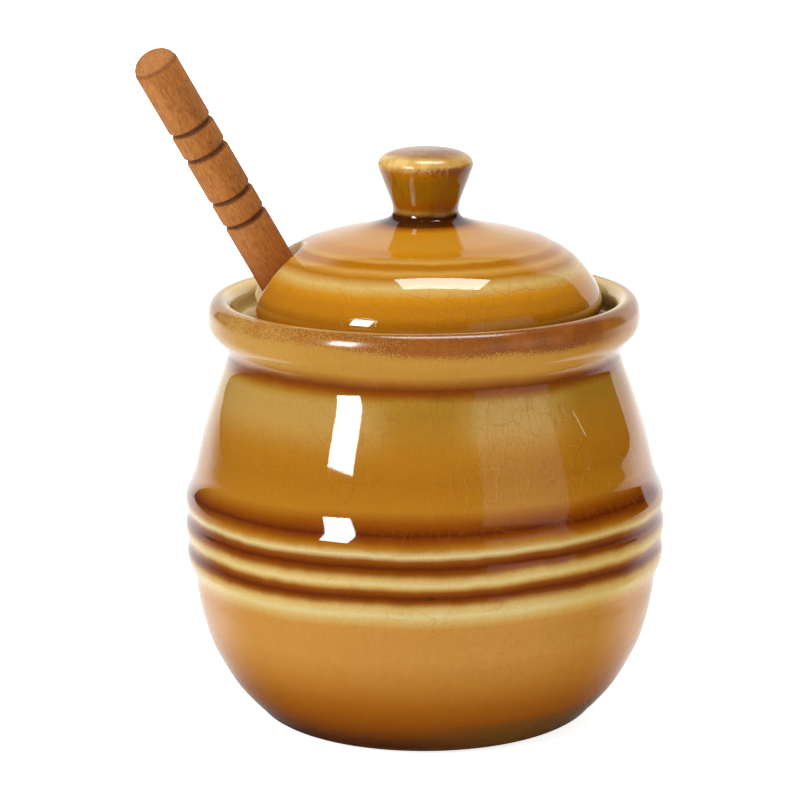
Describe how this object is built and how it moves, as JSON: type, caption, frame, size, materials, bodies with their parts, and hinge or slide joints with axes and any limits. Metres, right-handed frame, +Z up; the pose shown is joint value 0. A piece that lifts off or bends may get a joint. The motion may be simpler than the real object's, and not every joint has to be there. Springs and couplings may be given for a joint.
{
  "type": "honey pot",
  "caption": "Round glazed stoneware honey pot with a rolled rim, a loose domed lid with a knob and a round-ended bite in its edge, and a turned wooden dipper leaning in the bite.",
  "frame": {"origin": "middle of the pot's flat foot, on the surface it stands on; the pot's turning axis is the Z axis", "axes": "+Z up through the lid's knob, -Y towards the viewer of the picture, +X to that viewer's right; the bite in the lid and the dipper are on the -X side"},
  "size_m": [0.1128, 0.105, 0.149],
  "materials": {
    "honey_glaze": "glossy amber glaze over stoneware, pooled brown in the grooves and pale on the crests",
    "lid_glaze": "glossy amber glaze with a fine crackle on the shoulder, dark round the knob's foot",
    "turned_wood": "bare fine-grained hardwood with burnt grooves"
  },
  "bodies": {
    "root": {"pot": "honey_glaze", "lid": "lid_glaze", "dipper": "turned_wood"}
  },
  "joints": []
}
